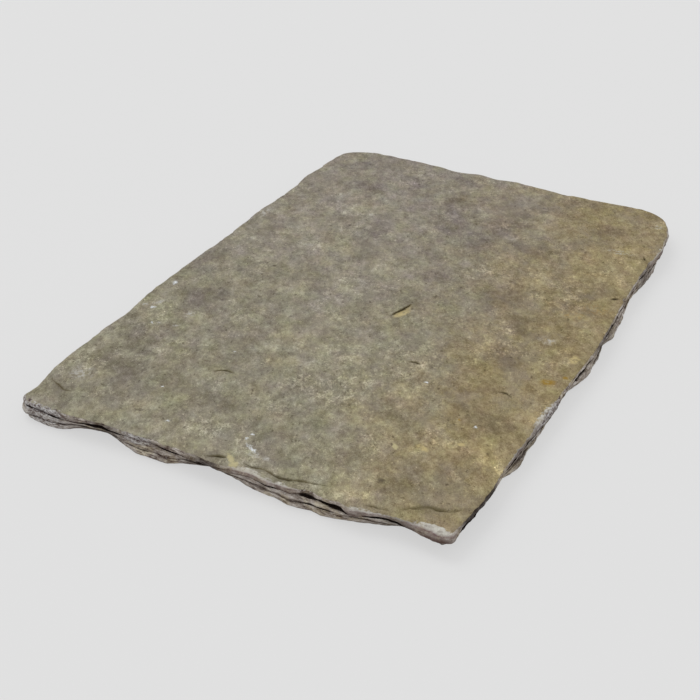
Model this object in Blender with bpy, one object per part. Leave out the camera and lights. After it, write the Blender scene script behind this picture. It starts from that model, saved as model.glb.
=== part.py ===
"""A natural bench whetstone: one thin, roughly rectangular slab of bedded stone.

The broad faces are splits along the bedding. The edge is dressed by knocking flakes off from
below, so a thin cap bed overhangs and the beds under it are bevelled back wherever a flake came
away. Axes: +X across the width, +Y along the length, +Z up. The origin is at the centre of the
slab's footprint, on the surface that it lies on.
"""

import math

import bmesh
import bpy
from mathutils import Vector, noise
from mathutils.geometry import delaunay_2d_cdt

MM = 0.001

# Driving dimensions, in millimetres.
THICKNESS = 7.2
STATION_PITCH = 4.0
TOP_PITCH = 8.0
UNDERSIDE_PITCH = 16.0
RELIEF_HEIGHT = 0.3
RELIEF_WAVELENGTH = 45.0

# The rim of the top face, seen from above, anticlockwise from the near left corner.
NEAR_RIM = [
    (-77.2, -107.2), (-74.6, -110.0), (-61.0, -110.8), (-45.0, -109.7), (-30.0, -110.2), (-17.0, -110.2),
    (-3.0, -111.0), (8.0, -110.4), (22.0, -111.2), (28.0, -110.4), (42.0, -111.1), (56.0, -109.4),
    (70.0, -111.0), (74.0, -109.6),
]
RIGHT_RIM = [
    (74.6, -104.0), (76.3, -86.0), (75.8, -74.0), (77.2, -52.0), (78.3, -36.0), (78.0, -25.0), (79.3, -4.0),
    (79.5, 12.0), (78.7, 34.0), (78.4, 56.0), (78.8, 74.0), (79.4, 90.0), (78.7, 100.0), (75.8, 108.0),
    (71.2, 113.5),
]
FAR_RIM = [
    (64.0, 116.9), (52.0, 116.8), (36.0, 116.5), (22.0, 117.4), (8.0, 119.1), (-1.0, 117.6), (-11.0, 119.2),
    (-20.0, 117.4), (-38.0, 119.6), (-56.0, 120.1), (-66.0, 118.6),
]
LEFT_RIM = [
    (-73.8, 113.6), (-76.0, 101.0), (-76.0, 93.0), (-77.4, 84.0), (-76.7, 72.0), (-77.2, 56.0), (-78.8, 43.0),
    (-78.3, 18.0), (-79.4, -12.0), (-79.7, -32.0), (-78.5, -48.0), (-79.4, -62.0), (-79.1, -88.0),
    (-76.8, -101.0),
]
RIM = NEAR_RIM + RIGHT_RIM + FAR_RIM + LEFT_RIM

# The beds seen on the edge: rows from the rim down, as (depth below the top face, outward offset).
# The two deep negative offsets are the open partings between beds.
CAP_BED = [(0.0, -0.5), (0.7, 0.0), (1.8, -0.2)]
UPPER_PARTING = [(2.4, -1.6)]
MIDDLE_BED = [(2.9, -0.1), (4.3, 0.0)]
LOWER_PARTING = [(4.7, -1.0)]
BASE_BED = [(5.1, 0.1), (6.7, 0.2), (THICKNESS, -0.3)]
EDGE_ROWS = CAP_BED + UPPER_PARTING + MIDDLE_BED + LOWER_PARTING + BASE_BED
BEVEL_START = UPPER_PARTING[0][0]

# Where the underside's edge stands back from the rim, because a flake was knocked off from below:
# (x, y of the middle, half length along the rim, depth). A negative depth is a ledge that stands proud.
FLAKES = [
    (-77.0, -109.0, 6.0, -1.4), (-49.0, -110.0, 13.5, 5.3), (-5.5, -111.0, 15.0, 6.2),
    (13.0, -111.0, 12.0, 1.6), (52.0, -110.0, 18.0, 3.2), (69.0, -111.0, 18.0, 6.2),
    (76.0, -85.0, 21.0, 4.8), (77.4, -49.0, 15.0, 1.9), (78.2, -25.0, 19.0, 3.2), (79.4, 15.0, 8.0, 1.9),
    (78.9, 30.0, 11.0, -0.7), (78.4, 54.0, 12.0, 1.5), (78.8, 73.0, 9.0, -0.5), (79.0, 97.0, 16.0, 4.2),
    (44.0, 116.0, 20.0, 4.2), (-1.0, 117.0, 16.0, 5.0), (-46.0, 119.0, 15.0, 3.4),
    (-76.5, 64.0, 24.0, 4.6), (-78.0, 14.0, 17.0, 3.2), (-78.5, -44.0, 20.0, 5.0), (-77.5, -86.0, 12.0, 2.8),
]


def remove_scene_objects():
    for scene_object in list(bpy.data.objects):
        bpy.data.objects.remove(scene_object, do_unlink=True)


def closed_curve(knots, pitch):
    """Points about one pitch apart along the smooth closed curve through the knots."""
    points = []
    count = len(knots)
    for i in range(count):
        before, start, end, after = (Vector(knots[(i + k) % count]) for k in (-1, 0, 1, 2))
        steps = max(1, round((end - start).length / pitch))
        for step in range(steps):
            t = step / steps
            points.append(
                start
                + 0.5 * (end - before) * t
                + 0.5 * (2.0 * before - 5.0 * start + 4.0 * end - after) * t**2
                + 0.5 * (3.0 * start - before - 3.0 * end + after) * t**3
            )
    return points


def outward_directions(outline):
    """The unit normal of an anticlockwise outline at each of its points."""
    count = len(outline)
    directions = []
    for i in range(count):
        along = outline[(i + 1) % count] - outline[i - 1]
        directions.append(Vector((along.y, -along.x)).normalized())
    return directions


def distances_along(outline):
    """The distance along a closed outline to each of its points, and once round at the end."""
    distances = [0.0]
    for i in range(len(outline)):
        distances.append(distances[-1] + (outline[(i + 1) % len(outline)] - outline[i]).length)
    return distances


def flake_depths(outline):
    """How far the underside is bevelled back at each point of the rim."""
    distances = distances_along(outline)
    perimeter = distances.pop()
    depths = [0.0] * len(outline)
    for x, y, half_length, depth in FLAKES:
        middle = min(range(len(outline)), key=lambda i: (outline[i] - Vector((x, y))).length)
        for i, distance in enumerate(distances):
            away = abs(distance - distances[middle])
            away = min(away, perimeter - away) / half_length
            if away < 1.0:
                depths[i] += depth * math.cos(0.5 * math.pi * away) ** 1.2
    return depths


def relief(point):
    """The gentle rise and fall of the split top face."""
    return RELIEF_HEIGHT * noise.noise(Vector((point.x, point.y, 0.0)) / RELIEF_WAVELENGTH)


def edge_rings(outline):
    """One ring of 3-D points for each edge row, from the rim down to the underside."""
    directions = outward_directions(outline)
    depths = flake_depths(outline)
    rings = []
    for depth, offset in EDGE_ROWS:
        bevel = max(0.0, depth - BEVEL_START) / (THICKNESS - BEVEL_START)
        ring = []
        for point, direction, flake in zip(outline, directions, depths):
            place = point + direction * (offset - bevel * flake)
            # The relief fades out with depth, so that the underside is flat.
            height = THICKNESS - depth + relief(point) * (1.0 - depth / THICKNESS)
            ring.append(Vector((place.x, place.y, height)))
        rings.append(ring)
    return rings


def face_points(ring, pitch):
    """A staggered grid of plan points over the ring's inside, for the triangles of a broad face."""
    lowest = [min(point[axis] for point in ring) for axis in (0, 1)]
    highest = [max(point[axis] for point in ring) for axis in (0, 1)]
    row_step = pitch * math.sqrt(0.75)
    points = []
    for row in range(1, int((highest[1] - lowest[1]) / row_step)):
        stagger = 0.5 * pitch * (row % 2)
        for column in range(1, int((highest[0] - lowest[0]) / pitch)):
            point = Vector((lowest[0] + column * pitch + stagger, lowest[1] + row * row_step))
            nearest = min((corner - point).length for corner in ring)
            if nearest > 0.6 * pitch:
                points.append(point)
    return points


def ring_edges(bm, ring):
    """The closed run of edges through a ring's vertices."""
    pairs = [(ring[i - 1], ring[i]) for i in range(len(ring))]
    return [bm.edges.get(pair) or bm.edges.new(pair) for pair in pairs]


def fill_ring(bm, ring, pitch, height_at):
    """Closes a ring of vertices with a broad face of even triangles."""
    border = [vertex.co.xy for vertex in ring]
    inside = face_points(border, pitch)
    vertices = ring + [bm.verts.new((point.x, point.y, height_at(point))) for point in inside]
    edges = [(i - 1, i) for i in range(1, len(ring))] + [(len(ring) - 1, 0)]
    keep_inside = 1
    _, _, triangles, sources, _, _ = delaunay_2d_cdt(border + inside, edges, [], keep_inside, 1e-6)
    for triangle in triangles:
        bm.faces.new([vertices[sources[corner][0]] for corner in triangle])


def slab_mesh():
    bm = bmesh.new()
    outline = closed_curve(RIM, STATION_PITCH)
    rings = [[bm.verts.new(point) for point in ring] for ring in edge_rings(outline)]
    for upper, lower in zip(rings, rings[1:]):
        bmesh.ops.bridge_loops(bm, edges=ring_edges(bm, upper) + ring_edges(bm, lower))
    fill_ring(bm, rings[0], TOP_PITCH, lambda point: THICKNESS + relief(point))
    fill_ring(bm, rings[-1], UNDERSIDE_PITCH, lambda point: 0.0)
    bmesh.ops.recalc_face_normals(bm, faces=bm.faces)

    centre = [
        0.5 * (min(vertex.co[axis] for vertex in bm.verts) + max(vertex.co[axis] for vertex in bm.verts))
        for axis in (0, 1)
    ]
    bmesh.ops.translate(bm, verts=bm.verts, vec=(-centre[0], -centre[1], 0.0))
    bmesh.ops.scale(bm, verts=bm.verts, vec=(MM, MM, MM))
    mesh = bpy.data.meshes.new("whetstone_slab")
    bm.to_mesh(mesh)
    bm.free()
    mesh.shade_smooth()
    mesh.set_sharp_from_angle(angle=math.radians(35.0))
    return mesh


def stone_material():
    """Olive-grey fine sandstone, matt all over."""
    material = bpy.data.materials.new("riven_stone")
    material.use_nodes = True
    shader = material.node_tree.nodes["Principled BSDF"]
    shader.inputs["Base Color"].default_value = (0.26, 0.23, 0.165, 1.0)
    shader.inputs["Roughness"].default_value = 0.82
    shader.inputs["Metallic"].default_value = 0.0
    return material


def main():
    remove_scene_objects()
    slab = bpy.data.objects.new("whetstone_slab", slab_mesh())
    slab.data.materials.append(stone_material())
    bpy.context.scene.collection.objects.link(slab)


main()
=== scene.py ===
"""The looks of the bench whetstone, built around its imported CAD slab.

One fine mesh stands for the slab: a riven top face, an edge of thin beds with open partings between
them, and a flat underside. Places on the stone are in millimetres on the plan of its top face, in the
same coordinates as the slab's own rim. Heights are above the surface that it lies on.
"""

import math
import random

import bpy
from mathutils import Matrix, Vector, noise
from mathutils.geometry import delaunay_2d_cdt
from mathutils.kdtree import KDTree


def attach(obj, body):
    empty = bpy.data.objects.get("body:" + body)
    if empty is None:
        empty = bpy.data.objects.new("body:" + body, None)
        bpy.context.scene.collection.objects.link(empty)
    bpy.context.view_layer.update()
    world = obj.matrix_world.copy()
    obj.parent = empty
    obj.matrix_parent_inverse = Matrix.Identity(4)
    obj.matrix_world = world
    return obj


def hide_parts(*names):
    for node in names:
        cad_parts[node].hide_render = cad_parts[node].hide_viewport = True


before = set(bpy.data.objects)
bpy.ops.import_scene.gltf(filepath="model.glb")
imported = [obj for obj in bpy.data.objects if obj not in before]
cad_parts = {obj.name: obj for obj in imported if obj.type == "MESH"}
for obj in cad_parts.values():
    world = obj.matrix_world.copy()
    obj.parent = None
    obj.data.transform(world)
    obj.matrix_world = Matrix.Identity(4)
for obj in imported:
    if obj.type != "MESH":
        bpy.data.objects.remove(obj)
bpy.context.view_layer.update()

MM = 0.001
NODE = "whetstone_slab"

# The slab's own design values, repeated because they set where its rim and its beds are.
THICKNESS = 7.2
STATION_PITCH = 4.0
RELIEF_HEIGHT = 0.3
RELIEF_WAVELENGTH = 45.0
BEVEL_START = 2.4

NEAR_RIM = [
    (-77.2, -107.2), (-74.6, -110), (-61, -110.8), (-45, -109.7), (-30, -110.2), (-17, -110.2),
    (-3, -111), (8, -110.4), (22, -111.2), (28, -110.4), (42, -111.1), (56, -109.4), (70, -111),
    (74, -109.6),
]
RIGHT_RIM = [
    (74.6, -104), (76.3, -86), (75.8, -74), (77.2, -52), (78.3, -36), (78, -25), (79.3, -4), (79.5, 12),
    (78.7, 34), (78.4, 56), (78.8, 74), (79.4, 90), (78.7, 100), (75.8, 108), (71.2, 113.5),
]
FAR_RIM = [
    (64, 116.9), (52, 116.8), (36, 116.5), (22, 117.4), (8, 119.1), (-1, 117.6), (-11, 119.2),
    (-20, 117.4), (-38, 119.6), (-56, 120.1), (-66, 118.6),
]
LEFT_RIM = [
    (-73.8, 113.6), (-76, 101), (-76, 93), (-77.4, 84), (-76.7, 72), (-77.2, 56), (-78.8, 43),
    (-78.3, 18), (-79.4, -12), (-79.7, -32), (-78.5, -48), (-79.4, -62), (-79.1, -88), (-76.8, -101),
]
RIM = NEAR_RIM + RIGHT_RIM + FAR_RIM + LEFT_RIM

# What changes along the rim is a list of (x, y of the middle, half length along the rim, amount).

# How far the underside's edge stands back from the rim. A negative amount is a ledge that stands proud.
FLAKES = [
    (-77, -109, 6, -1.4), (-49, -110, 13.5, 5.3), (-5.5, -111, 15, 6.2), (13, -111, 12, 1.6),
    (52, -110, 18, 3.2), (69, -111, 18, 6.2), (76, -85, 21, 4.8), (77.4, -49, 15, 1.9),
    (78.2, -25, 19, 3.2), (79.4, 15, 8, 1.9), (78.9, 30, 11, -0.7), (78.4, 54, 12, 1.5),
    (78.8, 73, 9, -0.5), (79, 97, 16, 4.2), (44, 116, 20, 4.2), (-1, 117, 16, 5), (-46, 119, 15, 3.4),
    (-76.5, 64, 24, 4.6), (-78, 14, 17, 3.2), (-78.5, -44, 20, 5), (-77.5, -86, 12, 2.8),
]
# How much deeper the partings under the cap bed and the middle bed are open. A negative amount closes
# them.
UPPER_OPENINGS = [
    (-78, -104, 6, -1.2), (-68, -110.5, 11, 0.9), (-44.5, -110, 9, 2.8), (-31, -110.2, 8, -1.8),
    (-20, -110, 4.5, 1.5), (-7, -110.8, 5, 0.6), (6.5, -110.4, 7, -1.8), (15.5, -110.9, 5, 1.6),
    (23, -111, 4, -1.6), (28.5, -110.4, 3.5, 2.4), (37, -110.8, 7, 3.6), (53, -109.8, 8, 1),
    (68, -110.8, 9, -1.5), (76, -92, 14, 1.3), (76.6, -62, 15, 1.4), (77.8, -37, 8, -0.8),
    (78.8, -12, 15, 2.6), (79.3, 24, 15, 2.4), (78.5, 58, 12, 0.8), (79, 82, 11, -2.2),
    (79, 99, 5, 2.2), (40, 116, 14, 2), (4, 118, 9, 1.2), (-46, 119, 12, 2.2), (-76.3, 88, 10, 1.4),
    (-77, 58, 12, 2.2), (-79, -18, 14, 1.8), (-79, -70, 11, 1.2),
]
LOWER_OPENINGS = [
    (-66, -110.5, 9, 0.7), (-30, -110.2, 9, 0.4), (-20, -110.2, 9, -0.8), (33, -110.7, 8, 0.3),
    (10, -110.8, 14, -1.2), (52, -109.9, 8, -1.6), (77.5, -47, 9, 0.9), (79.4, 4, 12, 0.8),
    (20, 117.6, 12, 1.3), (-70, 117, 9, 1), (-77, 74, 9, 1), (-78.5, 26, 12, 1.4),
    (-79.2, -50, 12, 1.2),
]
# How much thicker the cap bed is.
CAP_SWELLS = [
    (-76, -108.5, 14, -0.5), (-44, -110, 9, -0.7), (-28, -110.2, 12, -0.3), (8, -110.4, 8, -0.5),
    (18.5, -111, 5, -0.5), (32, -110.6, 9, -0.7), (43.5, -111, 4, 1.1), (52, -109.8, 7, -0.6),
    (68, -110.8, 10, 1.5), (76.6, -58, 13, -0.4), (78.8, -9, 14, -0.8), (79.4, 22, 14, -0.7),
    (79.2, 87, 8, 0.9), (20, 117.6, 15, -0.5), (-46, 119, 14, -0.5), (-77, 60, 14, 0.6),
    (-79, -30, 15, -0.6),
]
# How much further out the faces of the cap, the middle bed and the base stand.
CAP_FACES = [
    (-78, -107, 9, 0.6), (-26, -110.2, 4, -0.5), (29, -110.5, 3, -0.7), (43.5, -111, 3.5, 0.5),
    (69, -110.8, 8, 0.4), (-28, 119, 5, 0.6), (11, 118.6, 4, -0.5), (29, 117, 4, -0.5),
    (-49, 119.9, 4, -0.4), (-79.5, -24, 4, -0.4), (-78.6, 36, 5, -0.4), (-79.2, -60, 4, 0.3),
    (79, 82, 9, 0.8), (78.5, 41, 1.8, -0.9),
]
MIDDLE_FACES = [
    (-77.5, -107.5, 8, 1.1), (-66, -110.5, 9, 0.3), (-29, -110.2, 9, 0.5), (16, -111, 9, 0.3),
    (31, -110.6, 9, 0.4), (78.6, -9, 13, 1), (79.4, 22, 13, 0.9), (77.2, -52, 8, 0.5),
    (78.7, 66, 9, 0.4), (30, 116.8, 10, 0.8), (-30, 119, 12, 0.6), (-77.6, 42, 10, 0.8),
    (-79.2, -66, 12, 0.7), (75.9, -94, 11, -0.9),
]
BASE_FACES = [
    (-77.5, -107.5, 9, -1.5), (-51, -109.9, 5, 0.4), (-36, -110.1, 4, -0.6), (-12, -110.4, 5, 0.5),
    (12, -110.6, 4, 0.6), (57, -109.5, 6, -0.4), (76.2, -92, 6, -0.4), (76, -72, 5, -0.6),
    (77.4, -50, 6, 0.4), (79.4, 4, 6, -0.5), (79.2, 21, 6, 0.7), (78.9, 96, 6, -0.6),
    (75.9, -93, 10, -1.3),
]
# How much rounder the rim's upper arris is.
SHOULDERS = [
    (-77.5, -107.5, 11, 1), (-60, -110.8, 8, 0.4), (8, -110.5, 9, 0.9), (69, -110.8, 11, 2.4),
    (77, -42, 17, 1), (78, 102, 14, 0.7), (-72, 116, 14, 0.8), (20, 117.5, 20, 0.5), (-78, 30, 30, 0.6),
    (-79, -60, 25, 0.5), (20, -111.1, 7, 0.5), (43.5, -111, 4, 0.6),
]
# Where a pale mineral crust covers the rim.
CRUSTS = [
    (-68, -110.2, 15, 1), (-32, -110.2, 9, 0.8), (8, -110.6, 9, 0.9), (20, -111, 8, 0.8),
    (46, -110.6, 8, 0.9), (58, -109.6, 8, 0.7), (70, -110.9, 9, 1), (76.4, -64, 12, 0.8),
    (77.6, -42, 16, 0.9), (78.7, 50, 8, 0.6), (79.1, 83, 13, 1), (30, 117, 12, 0.6),
    (-14, 119, 10, 0.7), (-60, 119.8, 10, 0.7), (-76.4, 96, 10, 0.7), (-77.8, 36, 12, 0.7),
    (-79.5, -30, 12, 0.7), (-79, -84, 12, 0.8),
]
# Where painted shade, near black with a maroon cast, runs in patches along the rim over its undercuts.
RIM_SHADES = [
    (75.9, -93, 14, 2), (-6, -110.9, 8, 0.8), (-44, -110, 9, 0.6), (57, -109.4, 7, 0.5),
    (78.6, 66, 11, 0.5), (79.4, 12, 14, 0.5), (77.6, -58, 12, 0.4), (6, 118.8, 12, 0.6),
    (-52, 119.8, 10, 0.5), (-77, 74, 12, 0.5), (-79, -8, 12, 0.6), (-79, -74, 8, 0.4),
]

# Cracks in the top face: half width, depth, strength of the painted shade in them, how much lower the stone
# is on the right of the crack, then the places that it runs through.
CRACKS = [
    (0.36, 0.2, 0.95, 0.15, [
        (-76, -95.2), (-73.8, -96.6), (-70.5, -97.9), (-67.2, -99.3), (-64, -98.5),
    ]),
    (0.45, 0.5, 1.5, 0, [(-29.5, -68.1), (-27.4, -66.4), (-24.9, -65.9), (-22.7, -66.3)]),
    (0.5, 0.8, 1.2, 0.25, [(-7.1, -109), (-5.5, -108.2), (-3.3, -107.3), (-0.8, -106.9)]),
    (0.42, 0.4, 0.8, 0.35, [
        (3.4, -105.9), (5, -106.7), (8, -107.2), (11.8, -106.7), (14.8, -107.3), (18, -107.9),
        (20.9, -107.6), (23.6, -106.5), (27.3, -106), (34, -104.6),
    ]),
    (0.35, 0.25, 0.6, 0.2, [(45, -108.4), (48.5, -107.6), (52, -107.5), (54, -106.9)]),
    (0.6, 0.35, 0.8, 0.45, [
        (56, -105.6), (59, -103.2), (62.3, -101), (65.6, -100.6), (69.4, -99.6), (72.6, -97),
    ]),
    (0.42, 0.35, 1.5, 0, [(25.5, -33.4), (27.8, -32.8), (29.6, -33.2)]),
    (0.32, 0.25, 0.85, 0.12, [(57.8, -36.8), (60.9, -36.2), (62.9, -36.8), (64.6, -38.5)]),
    (0.45, 0.6, 1.3, 0.2, [(76.9, 73.4), (76.1, 74.2), (75.3, 75.6)]),
    (0.48, 0.5, 1.5, 0, [(73.8, 38.7), (75.2, 39.4), (76.2, 40.2)]),
]
# How far the sunken stone beside a crack reaches, and how far apart the places along a crack are.
DROP_REACH = 3.5
CRACK_PITCH = 0.7
# A shallow flake scar: its steep left side runs from the first place to the second.
SCAR_START = Vector((10.2, 2.2))
SCAR_END = Vector((6.9, -8.0))
SCAR_WIDTH = 3.4
SCAR_DEPTH = 0.55
SCAR_STEPS = 14
SCAR_HALF_STEEP = 0.12

# Broad clouds and flecked patches on the top face: ovals (x, y, half width, half height, turn in degrees).
DARK_CLOUDS = [
    (-3, 84, 9, 11, 10), (15, 72, 10, 9, 0), (22, 80, 6, 7, 0), (16, 54, 12, 8, 0), (-3, 68, 11, 9, 0),
    (37, 62, 12, 7, 0), (58, 92, 9, 7, 0), (-8, 110, 8, 4, 0), (37, 109, 10, 5, 0), (73, 109, 5, 5, 0),
    (30, 97, 8, 6, 0), (-30, 100, 8, 7, 0), (-60, 99, 6, 5, 0), (-45, 86, 9, 5, 0),
    (-26, 51, 8, 7, -30), (11, 21, 9, 6, 0), (38, 22, 14, 9, -20), (70, 39, 8, 10, 0),
    (65, 25, 7, 6, 0), (47, 6, 6, 9, 0), (4, -9, 4, 5, 0), (54, -19, 4, 8, 0), (61, -54, 10, 8, -20),
    (-72, 0, 6, 10, 0), (-59, -28, 9, 9, 0), (-41, -42, 7, 6, 0), (-63, -63, 7, 9, 0),
    (-58, -82, 9, 8, 0), (-18, -83, 9, 9, 20), (50, -95, 7, 4, 0),
]
LIGHT_CLOUDS = [
    (-73, 85, 5, 7, 0), (-65, 78, 7, 7, 0), (-49, 72, 6, 8, 0), (-61, 56, 9, 9, 0), (-54, 44, 8, 11, 0),
    (-61, 29, 7, 6, 0), (-35, 34, 8, 7, 0), (-38, 15, 7, 6, 0), (-11, 25, 9, 6, 0), (51, 67, 7, 8, 0),
    (69, 75, 9, 8, 0), (13, -13, 6, 8, 0), (-33, -7, 9, 6, 0), (-50, -12, 8, 6, 0),
    (-14, -34, 14, 12, 0), (0, -30, 12, 7, 0), (6, -46, 8, 10, 0), (-15, -52, 12, 5, 0),
    (73, -45, 4, 8, 0), (66, -68, 7, 6, 0), (73, -74, 6, 7, 0), (21, -70, 8, 6, 0), (53, -77, 9, 6, 0),
    (5, -79, 9, 6, 0), (-41, -99, 7, 5, 0), (-14, -102, 16, 5, 0), (16, -102, 8, 4, 0),
    (32, -98, 12, 6, 0), (64, -97, 6, 4, 0),
]
FLECK_PATCHES = [
    (22, 35, 12, 5, 15), (45, 42, 10, 5, 10), (65, 56, 8, 8, 0), (49, -8, 9, 12, 0),
    (15, -56, 12, 10, 0), (-45, -61, 12, 7, 30), (9, -64, 14, 8, 0), (54, -70, 8, 6, 0),
    (69, -76, 6, 8, 0), (38, -81, 7, 5, 0), (60, 30, 9, 9, 0), (70, -9, 6, 7, 0), (-10, -98, 14, 6, 0),
    (28, -31, 10, 6, 0), (-66, -84, 6, 6, 0),
]
# How far the outlines of those ovals wander: (wavelength, distance).
CLOUD_WANDER = [(16.0, 8.0), (5.0, 5.0)]

# How the stone varies from place to place: sums of noise, each (height, wavelength, seed).
WAVES = {
    "riven top": [(0.1, 15.0, 1), (0.06, 5.0, 2), (0.04, 2.2, 3)],
    "cap floor": [(0.5, 14.0, 4), (0.3, 4.5, 5)],
    "upper parting": [(1.4, 8.0, 6), (0.6, 2.8, 15)],
    "lower parting": [(1.4, 9.0, 8), (0.5, 3.0, 16)],
    "middle floor": [(0.8, 18.0, 7), (0.35, 4.5, 9)],
    "cap face": [(0.25, 6.0, 10)],
    "middle face": [(0.6, 9.0, 12), (0.3, 3.0, 17)],
    "base face": [(0.25, 9.0, 13)],
    "underside": [(0.25, 14.0, 30), (0.12, 4.0, 31)],
}
# The lumps of the broken faces: (height, wavelength along the beds, wavelength across them, seed).
BROKEN_WAVES = [(0.3, 3.0, 1.0, 1), (0.16, 1.2, 0.5, 2)]

# Finer stations for each of the slab's own, and how far apart the places on its two faces are.
FINE_STEPS = 7
TOP_PITCH = 1.0
UNDERSIDE_PITCH = 2.0
# How far a scattered place can stray, in pitches, and the nearest that it comes to the ring, in pitches,
# and to a crack's lines.
STRAY = 0.2
RING_CLEARANCE = 0.6
LINE_CLEARANCE = 0.42
# The depths of the beds below the top face, and the least thickness of each.
CAP_THICKNESS = 2.1
CAP_LEAST = 0.9
MIDDLE_FLOOR = 4.5
MIDDLE_LEAST = 0.6
BASE_LEAST = 1.4
# How deep the partings are where nothing opens them, how high a closed one is, and how much each
# millimetre of depth adds to that.
UPPER_DEPTH = 0.15
LOWER_DEPTH = 0.05
PARTING_GAP = 0.06
UPPER_GAPE = 0.42
LOWER_GAPE = 0.3
# How far the lower beds' faces stand out from the rim, and how deep the chips in the cap's face are.
MIDDLE_FACE = -0.3
BASE_FACE = 0.1
CHIP_DEPTH = 0.8
# How round the arrises are: the rim's, the foot's, a bed's, and what an open parting adds to a bed's.
RIM_RADIUS = 0.7
FOOT_ARRIS = 0.75
BED_ARRIS = 0.06
OPEN_ARRIS = 0.3
# How far the lumps of the broken faces fade out towards the lip and towards the foot.
LIP_FADE = 0.4
FOOT_FADE = 0.3
# How far the rim's crust reaches over the top face, how strong it is there on a sharp arris and how much
# a rounder one adds, and the mask value of a face that is all broken stone.
FROST_REACH = 1.6
ARRIS_FROST = 0.4
SHOULDER_FROST = 0.3
SIDE_FULL = 2.0
# The depth of a parting whose painted shade is full, and the retreat of a face that is all in the painted
# shade of the undercut.
DARK_PARTING = 1.6
DARK_UNDERCUT = 3.0


def catmull(before, start, end, after, t):
    """The place at t, from 0 to 1, between start and end on the smooth curve through all four."""
    return (
        start
        + 0.5 * (end - before) * t
        + 0.5 * (2.0 * before - 5.0 * start + 4.0 * end - after) * t**2
        + 0.5 * (3.0 * start - before - 3.0 * end + after) * t**3
    )


def neighbours(values, i):
    """The values before and after the step from i to i + 1 of a closed run."""
    return [values[(i + k) % len(values)] for k in (-1, 0, 1, 2)]


def closed_curve(knots, pitch):
    """Places about one pitch apart along the smooth closed curve through the knots."""
    places = []
    for i in range(len(knots)):
        ends = [Vector(knot) for knot in neighbours(knots, i)]
        steps = max(1, round((ends[2] - ends[1]).length / pitch))
        places.extend(catmull(*ends, step / steps) for step in range(steps))
    return places


def finer(values):
    """A closed run with FINE_STEPS times as many values."""
    shares = [step / FINE_STEPS for step in range(FINE_STEPS)]
    return [catmull(*neighbours(values, i), share) for i in range(len(values)) for share in shares]


def outward_directions(outline):
    directions = []
    for i in range(len(outline)):
        along = outline[(i + 1) % len(outline)] - outline[i - 1]
        directions.append(Vector((along.y, -along.x)).normalized())
    return directions


def extent(places):
    """The least x and y of some places, and the greatest."""
    return [Vector([end(place[axis] for place in places) for axis in (0, 1)]) for end in (min, max)]


# The place on the plan that the slab's own origin lies under: the middle of its rim's extent.
PLAN_ORIGIN = 0.5 * sum(extent(finer(closed_curve(RIM, STATION_PITCH))), Vector((0.0, 0.0))).to_3d()


def along_rim(outline, events):
    """The sum of the events' amounts at each place of a closed outline, each one fading out to its ends."""
    distances = [0.0]
    for i in range(len(outline)):
        distances.append(distances[-1] + (outline[(i + 1) % len(outline)] - outline[i]).length)
    perimeter = distances.pop()
    amounts = [0.0] * len(outline)
    for x, y, half_length, amount in events:
        middle = min(range(len(outline)), key=lambda i: (outline[i] - Vector((x, y))).length)
        for i, distance in enumerate(distances):
            away = abs(distance - distances[middle])
            away = min(away, perimeter - away) / half_length
            if away < 1.0:
                amounts[i] += amount * math.cos(0.5 * math.pi * away) ** 1.2
    return amounts


def rough(place, wavelength, seed):
    """Smooth noise from about -1 to 1, for a place in the plan or in space."""
    return noise.noise(place.to_3d() / wavelength + Vector((seed * 7.3, seed * 3.1, seed * 5.7)))


def waved(start, place, name):
    """A start value with the named waves at a place added to it."""
    for height, wavelength, seed in WAVES[name]:
        start += height * rough(place, wavelength, seed)
    return start


def bedded_rough(place, wavelength, bed, seed):
    """Noise whose lumps are long along the beds and thin across them."""
    return noise.noise(Vector((place.x / wavelength, place.y / wavelength, place.z / bed + 13.0 * seed)))


def scar_share(place):
    """How deep the flake scar is at a place, from 0 outside it to 1 at its steep side."""
    run = SCAR_END - SCAR_START
    along = (place - SCAR_START).dot(run) / run.length_squared
    across = (place - SCAR_START).dot(Vector((-run.y, run.x)).normalized()) / SCAR_WIDTH
    if not (0.0 < along < 1.0 and 0.0 < across < 1.0):
        return 0.0
    return math.sin(math.pi * along) ** 0.7 * (1.0 - across) ** 1.5


def crack_drop(place):
    """How much the stone beside a crack has sunk at a place."""
    total = 0.0
    reach = 3.0 * DROP_REACH
    for _, _, _, drop, knots in CRACKS:
        start, end = Vector(knots[0]), Vector(knots[-1])
        run = end - start
        along = (place - start).dot(run) / run.length_squared
        if drop == 0.0 or not 0.0 < along < 1.0 or (place - start - run * along).length > reach:
            continue
        nearest = None
        for first, last in zip(knots, knots[1:]):
            piece = Vector(last) - Vector(first)
            share = min(1.0, max(0.0, (place - Vector(first)).dot(piece) / piece.length_squared))
            away = place - Vector(first) - piece * share
            if nearest is None or away.length < nearest[0]:
                nearest = (away.length, away.cross(piece))
        if nearest[1] > 0.0:
            total += drop * math.sin(math.pi * along) ** 0.5 * math.exp(-nearest[0] / DROP_REACH)
    return total


def oval_share(place, ovals, seed):
    """How far a place is inside the nearest of some soft ovals, from 0 outside to 1 at its middle."""
    moved = place.to_2d()
    for wavelength, distance in CLOUD_WANDER:
        wander = (rough(place, wavelength, seed), rough(place, wavelength, seed + 1))
        moved = moved + distance * Vector(wander)
    share = 0.0
    for x, y, half_width, half_height, turn in ovals:
        away = moved - Vector((x, y))
        if away.length > 2.0 * max(half_width, half_height):
            continue
        away.rotate(Matrix.Rotation(math.radians(-turn), 2))
        share = max(share, 1.0 - 0.6 * math.hypot(away.x / half_width, away.y / half_height))
    return share**2 * (3.0 - 2.0 * share)


def patina_masks(place):
    """What the patina is like at a place on the top face: how light its cloud is, and how flecked it is."""
    return {
        "cloud": oval_share(place, LIGHT_CLOUDS, 51) - oval_share(place, DARK_CLOUDS, 53),
        "flecks": oval_share(place, FLECK_PATCHES, 55),
    }


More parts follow.
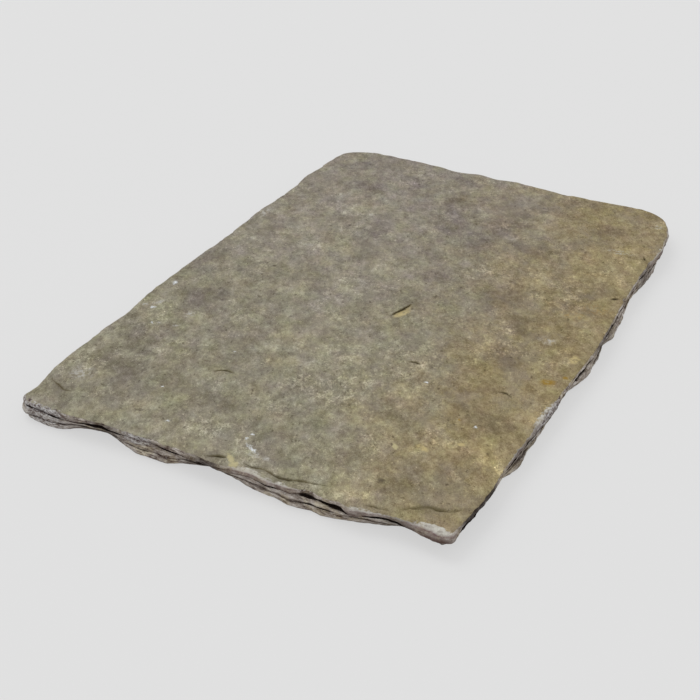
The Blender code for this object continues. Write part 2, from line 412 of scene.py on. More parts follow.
def top_height(place):
    """The height of the riven top face."""
    height = THICKNESS + RELIEF_HEIGHT * noise.noise(place.to_3d() / RELIEF_WAVELENGTH)
    height += waved(0.0, place, "riven top")
    return height - SCAR_DEPTH * scar_share(place) - crack_drop(place)


class Edge:
    """The stations round the slab, with what its beds do at each of them."""

    def __init__(self):
        coarse = closed_curve(RIM, STATION_PITCH)
        outward = outward_directions(coarse)
        flakes = along_rim(coarse, FLAKES)
        self.places = finer(coarse)
        self.outward = [direction.normalized() for direction in finer(outward)]
        self.retreat = finer([direction * flake for direction, flake in zip(outward, flakes)])
        self.crusts = along_rim(self.places, CRUSTS)
        self.rim_shades = along_rim(self.places, RIM_SHADES)
        self.upper = along_rim(self.places, UPPER_OPENINGS)
        self.lower = along_rim(self.places, LOWER_OPENINGS)
        self.swells = along_rim(self.places, CAP_SWELLS)
        self.cap_faces = along_rim(self.places, CAP_FACES)
        self.middle_faces = along_rim(self.places, MIDDLE_FACES)
        self.base_faces = along_rim(self.places, BASE_FACES)
        self.shoulders = along_rim(self.places, SHOULDERS)
        self.frosts = [
            crust * (ARRIS_FROST + SHOULDER_FROST * shoulder)
            for crust, shoulder in zip(self.crusts, self.shoulders)
        ]

    def beds(self, i):
        """The beds and partings at station i, from the top down.

        Each is (kind, top, floor, face, arris above, arris below).
        """
        place = self.places[i]
        cap_floor = max(CAP_LEAST, waved(CAP_THICKNESS + self.swells[i], place, "cap floor"))
        upper = max(0.0, waved(UPPER_DEPTH + self.upper[i], place, "upper parting"))
        middle_top = cap_floor + PARTING_GAP + UPPER_GAPE * upper
        lower = max(0.0, waved(LOWER_DEPTH + self.lower[i], place, "lower parting"))
        middle_floor = max(middle_top + MIDDLE_LEAST, waved(MIDDLE_FLOOR, place, "middle floor"))
        middle_floor = min(middle_floor, THICKNESS - BASE_LEAST)
        base_top = middle_floor + PARTING_GAP + LOWER_GAPE * lower
        chips = max(0.0, rough(place, 3.2, 11) - 0.2) + 0.8 * max(0.0, rough(place, 8.0, 14) - 0.25)
        cap_face = waved(self.cap_faces[i], place, "cap face") - CHIP_DEPTH * chips
        middle_face = waved(self.middle_faces[i] + MIDDLE_FACE, place, "middle face")
        base_face = waved(self.base_faces[i] + BASE_FACE, place, "base face")
        upper_arris = BED_ARRIS + OPEN_ARRIS * min(1.0, upper)
        lower_arris = BED_ARRIS + OPEN_ARRIS * min(1.0, lower)
        return [
            ("cap", 0.0, cap_floor, cap_face, RIM_RADIUS + self.shoulders[i], upper_arris),
            ("parting", cap_floor, middle_top, -upper, 0.0, 0.0),
            ("bed", middle_top, middle_floor, middle_face, upper_arris, lower_arris),
            ("parting", middle_floor, base_top, -lower, 0.0, 0.0),
            ("base", base_top, THICKNESS, base_face, lower_arris, FOOT_ARRIS),
        ]


# The rows of vertices down each bed, as shares of its thickness.
BED_ROWS = {
    "cap": (0.0, 0.05, 0.13, 0.24, 0.38, 0.54, 0.7, 0.85, 1.0),
    "parting": (0.08, 0.35, 0.75, 0.97),
    "bed": (0.0, 0.15, 0.33, 0.5, 0.67, 0.85, 1.0),
    "base": (0.0, 0.12, 0.26, 0.4, 0.55, 0.7, 0.85, 1.0),
}


def face_curve(kind, share, depth, face, arris_above, arris_below):
    """How far a bed's face stands out from its mean, at a share of its thickness, with round arrises."""
    if kind == "parting":
        return 0.0 if 0.2 < share < 0.9 else -0.75 * face
    arris = arris_below if share >= 0.5 else arris_above
    if kind == "cap" and share < 0.5:
        arris = 0.0
    curve = -arris * abs(2.0 * share - 1.0) ** 4
    if kind == "cap":
        inside = max(0.0, 1.0 - depth / arris_above)
        curve -= arris_above * (1.0 - math.sqrt(1.0 - inside**2))
    return curve


def edge_station(edge, i):
    """The places down the edge at one station, with the masks of each."""
    place = edge.places[i]
    lip = top_height(place)
    patina = patina_masks(place)
    column = []
    for kind, bed_top, bed_floor, face, *arrises in edge.beds(i):
        for share in BED_ROWS[kind]:
            depth = bed_top + share * (bed_floor - bed_top)
            down = 1.0 if kind == "parting" else share
            if kind == "cap":
                down = max(share, min(1.0, depth / CAP_THICKNESS))
            bevel = max(0.0, depth - BEVEL_START) / (THICKNESS - BEVEL_START)
            plan = place - bevel * edge.retreat[i]
            height = lip * (1.0 - depth / THICKNESS)
            spot = Vector((plan.x, plan.y, height))
            out = face + face_curve(kind, share, depth, face, *arrises)
            fade = min(1.0, depth / LIP_FADE) * min(1.0, (THICKNESS - depth) / FOOT_FADE)
            out += fade * sum(size * bedded_rough(spot, *waves) for size, *waves in BROKEN_WAVES)
            plan = plan + out * edge.outward[i]
            masks = {
                "side": min(SIDE_FULL, max(edge.frosts[i], depth / LIP_FADE)),
                "down": down,
                "recess": min(1.0, -face / DARK_PARTING) if kind == "parting" else 0.0,
                "crust": min(1.0, edge.crusts[i]),
                "rim_shade": min(1.0, edge.rim_shades[i]),
                "undercut": min(1.0, bevel * edge.retreat[i].length / DARK_UNDERCUT),
                **patina,
            }
            column.append((Vector((plan.x, plan.y, height)), masks))
    return column


class Skin:
    """The slab's vertices and faces as they are collected, with the masks that its material reads."""

    MASKS = (
        "side", "down", "recess", "crust", "rim_shade", "undercut", "under", "crack", "scar", "cloud", "flecks",
    )

    def __init__(self):
        self.vertices = []
        self.faces = []
        self.corners = []
        self.masks = {name: [] for name in self.MASKS}

    def vertex(self, place, **masks):
        self.vertices.append(place)
        for name in self.MASKS:
            self.masks[name].append(masks.get(name, 0.0))
        return len(self.vertices) - 1

    def face(self, indices, corners):
        self.faces.append(indices)
        self.corners.extend(corners)


# Where each part of the skin lies on its flat map: the top face and the underside as plans, with the
# edge as strips above them. Lengths on the stone times the scale are shares of the map. No row of the
# strips is less than LEAST_ROW high.
MAP_SCALE = 0.0033
TOP_MIDDLE = (0.272, 0.375)
UNDERSIDE_SCALE = 0.0027
UNDERSIDE_MIDDLE = (0.775, 0.33)
STRIP_LENGTH = 290.0
STRIP_LEFT = 0.01
STRIP_FOOT = 0.79
STRIP_HEIGHT = 0.065
LEAST_ROW = 0.25


def top_map(place):
    across, along = TOP_MIDDLE
    return (across + place.x * MAP_SCALE, along + place.y * MAP_SCALE)


def underside_map(place):
    across, along = UNDERSIDE_MIDDLE
    return (across - place.x * UNDERSIDE_SCALE, along + place.y * UNDERSIDE_SCALE)


def add_edge(skin, edge):
    """The band of beds round the slab. Returns its top ring and its bottom ring."""
    columns = []
    for i in range(len(edge.places)):
        station = edge_station(edge, i)
        columns.append([skin.vertex(spot, **masks) for spot, masks in station])
    down = [0.0]
    for upper, lower in zip(columns[0], columns[0][1:]):
        down.append(down[-1] + max(LEAST_ROW, (skin.vertices[lower] - skin.vertices[upper]).length))
    distance = 0.0
    for i in range(len(columns)):
        left, right = columns[i], columns[(i + 1) % len(columns)]
        step = (edge.places[(i + 1) % len(columns)] - edge.places[i]).length
        strip = int(distance // STRIP_LENGTH)
        start = distance - strip * STRIP_LENGTH
        foot = STRIP_FOOT + strip * STRIP_HEIGHT
        for row in range(len(down) - 1):
            skin.face(
                (left[row], left[row + 1], right[row + 1], right[row]),
                [
                    (STRIP_LEFT + at * MAP_SCALE, foot + down[level] * MAP_SCALE)
                    for at, level in (
                        (start, row), (start, row + 1), (start + step, row + 1), (start + step, row),
                    )
                ],
            )
        distance += step
    return [column[0] for column in columns], [column[-1] for column in columns]


def crack_lines(half_width, depth, knots):
    """A crack's middle and two lips through its knots, as rows of (place, depth, share of full size)."""
    ends = [Vector(knots[0]) * 2.0 - Vector(knots[1])] + [Vector(k) for k in knots]
    ends.append(ends[-1] * 2.0 - ends[-2])
    middle = []
    for i in range(1, len(ends) - 2):
        steps = max(2, round((ends[i + 1] - ends[i]).length / CRACK_PITCH))
        middle.extend(catmull(*ends[i - 1 : i + 3], step / steps) for step in range(steps))
    middle.append(ends[-2])
    lines = ([], [], [])
    for i, place in enumerate(middle):
        ahead = middle[min(i + 1, len(middle) - 1)] - middle[max(i - 1, 0)]
        across = Vector((-ahead.y, ahead.x)).normalized()
        share = math.sin(math.pi * (i + 0.5) / len(middle)) ** 0.6
        share *= 0.75 + 0.5 * rough(place, 2.5, 21)
        wander = 0.25 * rough(place, 1.7, 20)
        for line, side in zip(lines, (0.0, 1.0, -1.0)):
            width = half_width * (0.4 + 0.6 * share)
            line.append((place + across * (side * width + wander), 0.0 if side else depth * share, share))
    return lines


def scar_lines():
    """The foot and the lip of the flake scar's steep side."""
    run = SCAR_END - SCAR_START
    across = Vector((-run.y, run.x)).normalized()
    middle = [SCAR_START + run * (step / SCAR_STEPS) for step in range(1, SCAR_STEPS)]
    foot = [(place + across * SCAR_HALF_STEEP, 0.0, 1.0) for place in middle]
    lip = [(place - across * SCAR_HALF_STEEP, 0.0, 1.0) for place in middle]
    return foot, lip


def tree_of(places):
    tree = KDTree(len(places))
    for i, place in enumerate(places):
        tree.insert(place.to_3d(), i)
    tree.balance()
    return tree


def scatter(places, ring_length, pitch, seed):
    """Loosely even places over a sheet, clear of its ring and of the lines that are on it already."""
    random.seed(seed)
    ring = places[:ring_length]
    lines = places[ring_length:]
    ring_tree = tree_of(ring)
    line_tree = tree_of(lines)
    low, high = extent(ring)
    row_step = pitch * math.sqrt(0.75)
    scattered = []
    for row in range(int((high.y - low.y) / row_step)):
        for column in range(int((high.x - low.x) / pitch)):
            x = low.x + (column + 0.5 * (row % 2)) * pitch + random.uniform(-STRAY, STRAY) * pitch
            y = low.y + row * row_step + random.uniform(-STRAY, STRAY) * pitch
            place = Vector((x, y, 0.0))
            if ring_tree.find(place)[2] < RING_CLEARANCE * pitch:
                continue
            if lines and line_tree.find(place)[2] < LINE_CLEARANCE:
                continue
            scattered.append(place.to_2d())
    return scattered


class Sheet:
    """A face of the slab: places on the plan, joined into triangles inside a ring of vertices."""

    def __init__(self, skin, ring):
        self.skin = skin
        self.made = dict(enumerate(ring))
        self.places = [skin.vertices[i].to_2d() for i in ring]
        self.points = [None] * len(ring)
        self.edges = [(i, (i + 1) % len(ring)) for i in range(len(ring))]

    def point(self, place, height, **masks):
        self.places.append(place)
        self.points.append((Vector((place.x, place.y, height)), masks))

    def vertex(self, i):
        if i not in self.made:
            place, masks = self.points[i]
            self.made[i] = self.skin.vertex(place, **masks)
        return self.made[i]

    def fill(self, to_map, facing_down):
        keep_inside, tolerance = 1, 1e-6
        _, _, triangles, sources, _, _ = delaunay_2d_cdt(self.places, self.edges, [], keep_inside, tolerance)
        for triangle in triangles:
            corners = [self.vertex(sources[corner][0]) for corner in triangle]
            if facing_down:
                corners.reverse()
            self.skin.face(corners, [to_map(self.skin.vertices[corner]) for corner in corners])


def add_top(skin, ring, edge):
    """The riven top face inside the edge's top ring, with its cracks and its flake scar."""
    sheet = Sheet(skin, ring)
    rim_tree = tree_of(sheet.places)

    def surface_masks(place):
        _, i, distance = rim_tree.find(place.to_3d())
        frost = edge.frosts[i] * max(0.0, 1.0 - distance / FROST_REACH)
        crust = min(1.0, edge.crusts[i])
        return {"side": frost, "crust": crust, "scar": scar_share(place), **patina_masks(place)}

    def line(spots, crack):
        first = len(sheet.places)
        for place, depth, share in spots:
            sheet.point(place, top_height(place) - depth, crack=crack * share, **surface_masks(place))
        sheet.edges.extend((i, i + 1) for i in range(first, len(sheet.places) - 1))

    for half_width, depth, painted_shade, _, knots in CRACKS:
        middle, left, right = crack_lines(half_width, depth, knots)
        line(middle, painted_shade)
        line(left, 0.45 * painted_shade)
        line(right, 0.45 * painted_shade)
    foot, lip = scar_lines()
    # The scar's foot carries painted shade as a dark line, its lip a little.
    line(foot, 0.9)
    line(lip, 0.3)
    for place in scatter(sheet.places, len(ring), TOP_PITCH, 3):
        sheet.point(place, top_height(place), **surface_masks(place))
    sheet.fill(top_map, False)


def add_underside(skin, ring):
    """The flat underside inside the edge's bottom ring, with its shallow hollows."""
    sheet = Sheet(skin, ring)
    for place in scatter(sheet.places, len(ring), UNDERSIDE_PITCH, 5):
        hollow = max(0.0, waved(0.0, place, "underside"))
        sheet.point(place, hollow, side=SIDE_FULL, under=1.0)
    sheet.fill(underside_map, True)


# The angle between two faces, in degrees, from which their shared side is a sharp one.
SHARP_FROM = 55.0


def slab_mesh():
    """The whole slab as one closed mesh, in metres, with its masks and its flat map."""
    edge = Edge()
    skin = Skin()
    top_ring, bottom_ring = add_edge(skin, edge)
    add_top(skin, top_ring, edge)
    add_underside(skin, bottom_ring)

    mesh = bpy.data.meshes.new("whetstone")
    mesh.from_pydata([(v - PLAN_ORIGIN) * MM for v in skin.vertices], [], skin.faces)
    for name, values in skin.masks.items():
        mesh.attributes.new(name, "FLOAT", "POINT").data.foreach_set("value", values)
    flat_map = mesh.uv_layers.new(name="OFBake")
    flat_map.data.foreach_set("uv", [share for corner in skin.corners for share in corner])
    mesh.shade_smooth()
    mesh.set_sharp_from_angle(angle=math.radians(SHARP_FROM))
    return mesh


# The turn of the rock's grain on the plan, in degrees, and how much longer its mottling is along it.
GRAIN_TURN = 26.9
GRAIN_STRETCH = 1.45
# The half height of a mark's oval, which colours the stone at any height, and the wavelength of its
# outline's wobble and how far apart that can move two places.
ANY_HEIGHT = 1000.0
WOBBLE_WAVELENGTH = 10.0 / 9.0
WOBBLE = 3.0


def rgb(red, green, blue):
    """A screen colour, 0 to 255, as the linear colour that a shader takes."""
    shares = (channel / 255.0 for channel in (red, green, blue))
    return tuple(s / 12.92 if s <= 0.04045 else ((s + 0.055) / 1.055) ** 2.4 for s in shares) + (1.0,)


class Net:
    """A material's nodes. Each call adds one and returns its output. Lengths are in millimetres."""

    def __init__(self, name):
        self.material = bpy.data.materials.new(name)
        self.material.use_nodes = True
        self.nodes = self.material.node_tree.nodes
        self.shader = self.nodes["Principled BSDF"]
        metres = self.add("ShaderNodeTexCoord").outputs["Object"]
        self.place = self.vector("MULTIPLY", metres, (1.0 / MM, 1.0 / MM, 1.0 / MM))
        self.grain = self.turned(self.place, (0.0, 0.0), GRAIN_TURN, (1.0, GRAIN_STRETCH, 1.0))

    def add(self, kind, inputs=None, **settings):
        """A new node. Its inputs are values or the outputs of other nodes."""
        node = self.nodes.new(kind)
        for name, value in settings.items():
            setattr(node, name, value)
        for name, value in (inputs or {}).items():
            self.put(node.inputs[name], value)
        return node

    def put(self, socket, value):
        if isinstance(value, bpy.types.NodeSocket):
            self.material.node_tree.links.new(value, socket)
        else:
            socket.default_value = value

    def axes(self):
        """The place's x, y and z."""
        return self.add("ShaderNodeSeparateXYZ", {0: self.place}).outputs

    def math(self, operation, first, second):
        return self.add("ShaderNodeMath", {0: first, 1: second}, operation=operation).outputs[0]

    def times(self, first, second):
        return self.math("MULTIPLY", first, second)

    def plus(self, first, second):
        return self.math("ADD", first, second)

    def largest(self, first, second):
        return self.math("MAXIMUM", first, second)

    def vector(self, operation, first, second=(0.0, 0.0, 0.0)):
        node = self.add("ShaderNodeVectorMath", {0: first, 1: second}, operation=operation)
        return node.outputs["Value" if operation == "LENGTH" else "Vector"]

    def turned(self, place, middle, turn, size):
        """A place as seen from an oval's middle, along its own axes, in shares of its half sizes."""
        turn = (0.0, 0.0, math.radians(turn))
        inputs = {"Vector": place, "Location": (*middle, 0.0), "Rotation": turn, "Scale": size}
        return self.add("ShaderNodeMapping", inputs, vector_type="TEXTURE").outputs["Vector"]

    def mask(self, name):
        return self.add("ShaderNodeAttribute", attribute_name=name).outputs["Fac"]

    def noise(self, wavelength, seed, detail=4.0, roughness=0.55, flatten=1.0, place=None, output="Fac"):
        """Noise from 0 to 1 about 0.5. flatten above 1 squashes its lumps down towards the beds."""
        moved = self.vector("ADD", place or self.place, (17.0 * seed, 31.0 * seed, 5.0 * seed))
        moved = self.vector("MULTIPLY", moved, (1.0, 1.0, flatten))
        inputs = {"Vector": moved, "Scale": 1.0 / wavelength, "Detail": detail, "Roughness": roughness}
        return self.add("ShaderNodeTexNoise", inputs).outputs[output]

    def swing(self, wavelength, seed, **settings):
        """Noise from -0.5 to 0.5."""
        return self.math("SUBTRACT", self.noise(wavelength, seed, **settings), 0.5)

    def step(self, value, start, end):
        """0 below start, 1 above end, smooth between; end may be the lower one."""
        inputs = {
            "Value": value, "From Min": min(start, end), "From Max": max(start, end),
            "To Min": float(start > end), "To Max": float(start < end),
        }
        node = self.add("ShaderNodeMapRange", inputs, interpolation_type="SMOOTHSTEP", clamp=True)
        return node.outputs["Result"]

    def mix(self, share, first, second, blend="MIX"):
        inputs = {"Factor": share, "A": first, "B": second}
        node = self.add("ShaderNodeMix", inputs, data_type="RGBA", blend_type=blend)
        return next(socket for socket in node.outputs if socket.type == "RGBA")

    def tint(self, share, colour, channels):
        """A colour with its red, green and blue multiplied, where share is 1."""
        return self.mix(share, colour, (*channels, 1.0), "MULTIPLY")

    def ramp(self, value, stops):
        """The colour for a value, from stops of (value, screen colour)."""
        node = self.add("ShaderNodeValToRGB", {"Fac": value})
        elements = node.color_ramp.elements
        while len(elements) < len(stops):
            elements.new(0.5)
        for element, (position, colour) in zip(elements, stops):
            element.position = position
            element.color = rgb(*colour)
        return node.outputs["Color"]

    def blots(self, marks, softness, ragged):
        """1 inside any of the marks, each an oval (x, y, half width, half height, turn in degrees)."""
        total = 0.0
        for x, y, half_width, half_height, turn in marks:
            away = self.turned(ragged, (x, y), turn, (half_width, half_height, ANY_HEIGHT))
            inside = self.step(self.vector("LENGTH", away), 1.0 + softness, 1.0 - softness)
            total = self.largest(total, inside)
        return total


# Marks on the top face: (x, y, half width, half height, turn in degrees).
SOLID_MARKS = [(0.5, -106.9, 2.5, 0.8, -40), (2.6, -108.8, 1.3, 1.4, 0), (42, -79, 0.8, 1.6, 40)]
CREAM_MARKS = [
    (59.5, -69, 1.3, 0.9, 0), (74.8, -7, 1.5, 2.6, 0), (50, -76, 2.4, 1, -20),
    (10, -5.4, 1.5, 3.8, -18),
]
FAINT_MARKS = [
    (73.2, 103, 1.9, 1.5, 0), (66.2, 75.5, 4.2, 1.6, 10), (-75, 44, 1.5, 4, 0),
    (-68.5, -88.5, 3.4, 3, 0), (62.6, 0.6, 2.6, 2, 0), (5.4, -102.2, 1.8, 1, 0),
    (10.3, -101.9, 1.3, 0.8, 0), (-64, -50, 1.2, 0.9, 0), (-58, -48.7, 1.4, 0.9, 0),
    (-75.5, -41.5, 1.2, 1, 0), (-57.5, -40, 1.6, 1.8, 0), (-72, -38, 2.6, 1.4, 30),
]
WHITE_MARKS = [
    (-0.2, -93.2, 0.35, 0.5, 0), (-0.6, -95.8, 0.5, 0.5, 0), (3.4, -99.5, 2.6, 0.6, -31),
    (-72, -42, 0.9, 0.6, 30), (-66, -51, 0.5, 0.4, 0), (-40, -83.4, 0.5, 0.4, 0),
    (-30, -54.5, 0.5, 0.35, 0), (-27.5, -99, 0.6, 0.5, 0), (-75, -23, 0.7, 1.2, 0),
    (36, -42.2, 0.6, 0.4, 0), (60, -58.5, 0.5, 0.5, 0),
]
ORANGE_MARKS = [(71.4, -24, 2.4, 1.9, 25), (75.9, -18.9, 0.9, 0.9, 0), (54, -57, 0.6, 0.5, 0)]
OCHRE_HAZES = [(71, 29, 5, 3, 0), (66, 21, 5, 2.4, 0)]
DARK_MARKS = [
    (-13.5, -60, 0.5, 0.4, 0), (-3.5, -61.5, 0.4, 0.4, 0), (40.4, -78.4, 0.6, 0.4, 0),
    (-39, -98, 1.4, 0.8, 20), (46, -96, 2, 1.1, 0),
]

# The patina's dark, middle and light shades in each part of the top face, and the tones that they are at.
# The far part's mauve-grey is bluer than the near part's olive-grey as a painted sheen.
TONES = (0.39, 0.50, 0.61)
MAUVE_GREY = ((107, 99, 88), (137, 130, 116), (169, 162, 146))
OLIVE_GREY = ((106, 99, 82), (136, 130, 111), (168, 163, 141))
OCHRE = ((112, 97, 68), (142, 128, 96), (173, 160, 124))


def patina_colour(net):
    """The weathered top face: olive-grey, ochre to the right, with a painted sheen that turns it mauve-grey
    to the far end, and with mauve clouds and cream flecks.
    """
    grain = net.grain
    x, y, _ = net.axes()
    tilt = net.plus(x, net.times(y, 0.12))
    drift = net.times(net.swing(30.0, 1, detail=5.0, place=grain), 1.1)
    films = net.swing(9.0, 34, detail=5.0, roughness=0.6, place=grain)
    drift = net.plus(drift, net.times(films, 0.9))
    warmth = net.step(net.plus(net.math("DIVIDE", tilt, 68.0), drift), -0.05, 1.0)
    tone = net.noise(7.0, 2, detail=8.0, roughness=1.0, place=grain)
    mauve_grey, olive_grey, ochre = (
        net.ramp(tone, list(zip(TONES, shades))) for shades in (MAUVE_GREY, OLIVE_GREY, OCHRE)
    )
    # Painted sheen: the far end is mauve-grey, the near end olive-grey.
    nearness = net.step(net.plus(y, net.times(drift, 60.0)), 70.0, -60.0)
    ground = net.mix(warmth, net.mix(nearness, mauve_grey, olive_grey), ochre)

    torn = net.swing(6.0, 33, detail=7.0, roughness=0.75, place=grain)
    cloud = net.plus(net.mask("cloud"), net.times(torn, 1.2))
    ground = net.tint(net.step(cloud, -0.1, -0.9), ground, (0.77, 0.75, 0.79))
    ground = net.tint(net.step(cloud, 0.1, 0.9), ground, (1.20, 1.20, 1.16))
    tints = net.noise(6.0, 35, detail=3.0, roughness=0.6, place=grain, output="Color")
    tints = net.vector("MULTIPLY", tints, (0.0, 0.22, 0.48))
    tints = net.vector("ADD", tints, (1.0, 0.89, 0.76))
    ground = net.mix(1.0, ground, tints, "MULTIPLY")
    mauve = net.step(net.noise(19.0, 3, detail=5.0, roughness=0.7, place=grain), 0.49, 0.64)
    ground = net.mix(net.times(mauve, 0.33), ground, rgb(122, 114, 107))

    clusters = net.step(net.noise(21.0, 4, roughness=0.65), 0.50, 0.62)
    clusters = net.largest(net.times(clusters, 0.7), net.step(net.mask("flecks"), 0.1, 0.8))
    flecks = net.step(net.noise(4.0, 5, roughness=0.8, place=grain), 0.47, 0.57)
    threads = net.swing(2.1, 8, roughness=0.7, place=grain)
    threads = net.step(net.math("ABSOLUTE", threads, 0.0), 0.07, 0.02)
    cream = net.times(net.times(clusters, flecks), threads)
    lumps = net.step(net.noise(2.4, 10, detail=3.0, roughness=0.6), 0.60, 0.68)
    cream = net.largest(cream, net.times(lumps, clusters))
    ground = net.tint(cream, ground, (1.68, 1.70, 1.74))
    grains = net.step(net.noise(0.9, 9, detail=1.0, place=grain), 0.68, 0.76)
    ground = net.tint(grains, ground, (1.55, 1.55, 1.55))
    pits = net.step(net.noise(1.5, 6, detail=3.0, roughness=0.7, place=grain), 0.60, 0.70)
    return net.tint(pits, ground, (0.55, 0.53, 0.50))


def marked_colour(net, ground):
    """The patina with its spots, scuffs and stains, each mark ragged and worn through in places."""
    wobble = net.noise(WOBBLE_WAVELENGTH, 0, roughness=0.7, output="Color")
    wobble = net.vector("MULTIPLY", wobble, (WOBBLE, WOBBLE, 0.0))
    ragged = net.vector("ADD", net.place, wobble)
    middle = (0.5 * WOBBLE - PLAN_ORIGIN.x, 0.5 * WOBBLE - PLAN_ORIGIN.y, 0.0)
    ragged = net.vector("SUBTRACT", ragged, middle)
    wear = net.noise(1.7, 31, detail=5.0, roughness=0.8)
    worn = net.step(wear, 0.36, 0.50)
    speckled = net.step(wear, 0.46, 0.60)
    for marks, softness, share, wear_through, colour in (
        (CREAM_MARKS, 0.5, 0.85, worn, rgb(192, 175, 126)),
        (OCHRE_HAZES, 0.8, 0.6, speckled, rgb(160, 130, 78)),
        (ORANGE_MARKS, 0.5, 0.88, worn, rgb(145, 115, 40)),
        (DARK_MARKS, 0.6, 0.65, worn, rgb(80, 70, 58)),
        (FAINT_MARKS, 0.8, 0.65, speckled, rgb(196, 194, 188)),
        (WHITE_MARKS, 0.6, 1.0, worn, rgb(216, 220, 222)),
    ):
        cover = net.times(net.blots(marks, softness, ragged), share)
        ground = net.mix(net.times(cover, wear_through), ground, colour)
    solid = net.blots(SOLID_MARKS, 0.35, ragged)
    return net.mix(net.times(solid, 0.8), ground, rgb(190, 180, 138))


def cracked_colour(net, ground):
    """The marked patina with an ochre flake scar, and with painted shade that darkens the cracks towards
    their middle and the foot of the scar's steep side.
    """
    scar = net.step(net.mask("scar"), 0.02, 0.5)
    ground = net.mix(net.times(scar, 0.45), ground, rgb(158, 140, 92))
    crack = net.mask("crack")
    # Painted shade in the cracks: an olive-brown halo and a near-black core where the grooves hold shadow.
    ground = net.mix(net.times(net.step(crack, 0.0, 0.6), 0.75), ground, rgb(86, 76, 46))
    return net.mix(net.step(crack, 0.5, 0.95), ground, rgb(36, 28, 15))


def crust_colour(net, speckled, down):
    """The crust on the rim: pale above a maroon seam and darker below it, partly painted shade on the lip's
    underside; or speckled grey and white.
    """
    # Real crust and seam colours, darkening down the bed as painted shade under the lip.
    smooth = net.ramp(down, [
        (0.05, (199, 197, 187)), (0.22, (175, 170, 163)), (0.36, (108, 84, 84)),
        (0.52, (126, 113, 107)), (0.98, (88, 70, 64)),
    ])
    mottled = net.ramp(net.noise(1.3, 16, roughness=0.8, flatten=2.0), [
        (0.39, (74, 60, 56)), (0.47, (138, 132, 130)), (0.54, (182, 180, 179)), (0.62, (212, 211, 210)),
    ])
    return net.mix(speckled, smooth, mottled)


def crust_cover(net, speckled):
    """Where the crust lies: on the rim's upper part, and lower too on the left and at the far right."""
    x, y, z = net.axes()
    left = net.step(x, -44.0, -58.0)
    far_right = net.times(net.step(x, 60.0, 72.0), net.step(y, 62.0, 74.0))
    low = net.largest(left, far_right)
    level = net.math("DIVIDE", z, THICKNESS)
    level = net.plus(level, net.times(net.swing(3.0, 14), 0.4))
    lip = net.largest(net.step(level, 0.50, 0.68), net.times(low, 0.75))
    whole = net.step(net.noise(1.6, 18, roughness=0.7), 0.40, 0.56)
    whole = net.largest(net.plus(0.55, net.times(whole, 0.45)), speckled)
    return net.times(net.times(net.mask("crust"), lip), whole)


def broken_colour(net):
    """The beds on the edge: grey laminae with maroon seams and pale crusted lips, with painted shade in the
    partings, under undercuts, along the rim, low in each bed and at the foot.
    """
    x, y, z = net.axes()
    stone = net.ramp(net.noise(4.5, 11, detail=6.0, roughness=0.8, flatten=2.4), [
        (0.36, (68, 52, 45)), (0.43, (126, 115, 105)), (0.52, (166, 156, 147)), (0.62, (202, 195, 187)),
    ])
    films = net.step(net.noise(5.0, 19), 0.46, 0.58)
    stone = net.tint(net.times(films, 0.8), stone, (1.0, 0.97, 0.80))
    speckle = net.step(net.noise(0.9, 13, detail=3.0, roughness=0.7, flatten=1.4), 0.56, 0.66)
    stone = net.mix(net.times(speckle, 0.5), stone, rgb(208, 203, 196))

    down = net.times(net.swing(3.5, 15), 0.5)
    down = net.plus(net.mask("down"), down)
    left = net.step(x, 4.0, -8.0)
    right = net.times(net.step(x, 76.4, 77.8), net.step(y, 0.0, -14.0))
    speckled = net.largest(left, right)
    crust = crust_colour(net, speckled, down)
    stone = net.mix(crust_cover(net, speckled), stone, crust)

    seams = net.step(net.noise(3.0, 12, roughness=0.6, flatten=6.0), 0.55, 0.64)
    seams = net.times(seams, net.plus(0.25, net.times(speckled, 0.6)))
    # Where painted shade lies along the rim's undercuts, broken up by noise.
    rim_shaded = net.step(net.noise(2.6, 17, roughness=0.7, flatten=2.0), 0.24, 0.42)
    rim_shaded = net.times(net.mask("rim_shade"), rim_shaded)
    for cover, share, colour in (
        (seams, 1.0, rgb(60, 34, 30)),
        # Painted shade on the lower part of every bed.
        (net.step(down, 0.55, 1.0), 0.4, rgb(66, 42, 37)),
        # Painted shade in patches along the rim's undercuts.
        (rim_shaded, 0.88, rgb(26, 12, 10)),
        # Painted shade under the faces that the flakes undercut.
        (net.step(net.mask("undercut"), 0.25, 1.0), 0.7, rgb(52, 36, 30)),
        # Painted shade along the foot, within a millimetre of the floor.
        (net.step(z, 0.9, 0.1), 0.7, rgb(54, 42, 36)),
        # Painted shade, near black, in the open partings; deeper ones are darker.
        (net.step(net.mask("recess"), 0.1, 0.8), 0.96, rgb(30, 17, 11)),
    ):
        stone = net.mix(net.times(cover, share), stone, colour)
    return stone


def underside_colour(net):
    """The flat underside: fresh grey rock, with ochre-brown films."""
    stone = net.ramp(net.noise(11.0, 41, detail=7.0, roughness=0.85), [
        (0.38, (92, 86, 76)), (0.50, (122, 116, 104)), (0.60, (148, 141, 127)),
    ])
    films = net.step(net.noise(26.0, 42, detail=5.0, roughness=0.7), 0.50, 0.62)
    return net.mix(net.times(films, 0.5), stone, rgb(126, 106, 76))


# How glossy the stone is, and how strong and how high its finest roughness is.
STONE_SPECULAR = 0.15
BUMP_STRENGTH = 0.9
BUMP_HEIGHT = 0.4


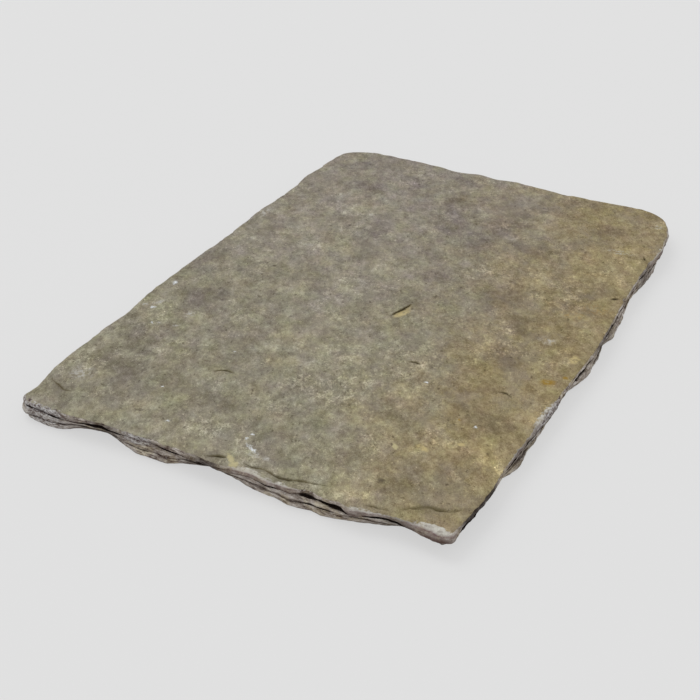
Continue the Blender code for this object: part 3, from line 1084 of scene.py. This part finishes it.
def stone_material():
    net = Net("riven_stone")
    top = cracked_colour(net, marked_colour(net, patina_colour(net)))
    ragged = net.times(net.noise(1.4, 21, roughness=0.65), 3.0)
    ragged = net.math("SUBTRACT", ragged, 0.5)
    broken = net.step(net.times(net.mask("side"), ragged), 0.3, 0.55)
    colour = net.mix(broken, top, broken_colour(net))
    colour = net.mix(net.mask("under"), colour, underside_colour(net))
    net.put(net.shader.inputs["Base Color"], colour)
    roughness = net.plus(0.62, net.times(net.noise(2.2, 22, detail=3.0), 0.3))
    net.put(net.shader.inputs["Roughness"], roughness)
    net.shader.inputs["Specular IOR Level"].default_value = STONE_SPECULAR
    coarse = net.noise(2.2, 23, detail=6.0, roughness=0.6)
    fine = net.noise(0.5, 24, detail=3.0, roughness=0.65)
    height = net.plus(coarse, net.times(fine, 0.5))
    inputs = {"Strength": BUMP_STRENGTH, "Distance": BUMP_HEIGHT * MM, "Height": height}
    bump = net.add("ShaderNodeBump", inputs)
    net.put(net.shader.inputs["Normal"], bump.outputs["Normal"])
    return net.material


# The stage: lengths in metres, angles in degrees, and the lens in millimetres.
WHITE = (1.0, 1.0, 1.0, 1.0)
FLOOR_HALF = 3.0
FLOOR_DROP = 0.0002
FLOOR_GREY = 0.18
FLOOR_GLOW = 0.563
ROOM_LIGHT = 0.74
SOFTBOX_LIGHT = 1.0
SOFTBOX_SPREAD = 40.0
SOFTBOX_TILTS = (-12.0, -34.0)
CAMERA_PLACE = (0.17172, -0.36943, 0.2387)
CAMERA_TILT = 57.91
CAMERA_TURN = 26.9
CAMERA_LENS = 65.62


def add_object(name, data):
    item = bpy.data.objects.new(name, data)
    bpy.context.scene.collection.objects.link(item)
    return item


def floor_material():
    """A pale floor that glows a little, which keeps the shadow under the slab light."""
    material = bpy.data.materials.new("pale_floor")
    material.use_nodes = True
    shader = material.node_tree.nodes["Principled BSDF"]
    for name, value in (
        ("Base Color", (FLOOR_GREY, FLOOR_GREY, FLOOR_GREY, 1.0)), ("Roughness", 0.9),
        ("Specular IOR Level", 0.1), ("Emission Color", WHITE), ("Emission Strength", FLOOR_GLOW),
    ):
        shader.inputs[name].default_value = value
    return material


def add_floor():
    corners = [(x * FLOOR_HALF, y * FLOOR_HALF, 0.0) for x, y in ((-1, -1), (1, -1), (1, 1), (-1, 1))]
    mesh = bpy.data.meshes.new("floor")
    mesh.from_pydata(corners, [], [(0, 1, 2, 3)])
    mesh.materials.append(floor_material())
    floor = add_object("floor", mesh)
    floor.location.z = -FLOOR_DROP


def add_light():
    """A bright room all round, and one broad soft light from behind on the left."""
    world = bpy.data.worlds.new("studio")
    world.use_nodes = True
    sky = world.node_tree.nodes["Background"]
    sky.inputs["Color"].default_value = WHITE
    sky.inputs["Strength"].default_value = ROOM_LIGHT
    bpy.context.scene.world = world
    sun = bpy.data.lights.new("softbox", "SUN")
    sun.energy = SOFTBOX_LIGHT
    sun.angle = math.radians(SOFTBOX_SPREAD)
    lamp = add_object("softbox", sun)
    lamp.rotation_euler = (*(math.radians(tilt) for tilt in SOFTBOX_TILTS), 0.0)


def add_camera():
    camera = bpy.data.cameras.new("camera")
    camera.lens = CAMERA_LENS
    camera.clip_start = 0.01
    holder = add_object("camera", camera)
    holder.location = CAMERA_PLACE
    holder.rotation_euler = (math.radians(CAMERA_TILT), 0.0, math.radians(CAMERA_TURN))
    bpy.context.scene.camera = holder
    bpy.context.scene.view_settings.view_transform = "Standard"


add_camera()
add_light()
add_floor()
stone = add_object("whetstone", slab_mesh())
stone.data.materials.append(stone_material())
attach(stone, "root")
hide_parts(NODE)
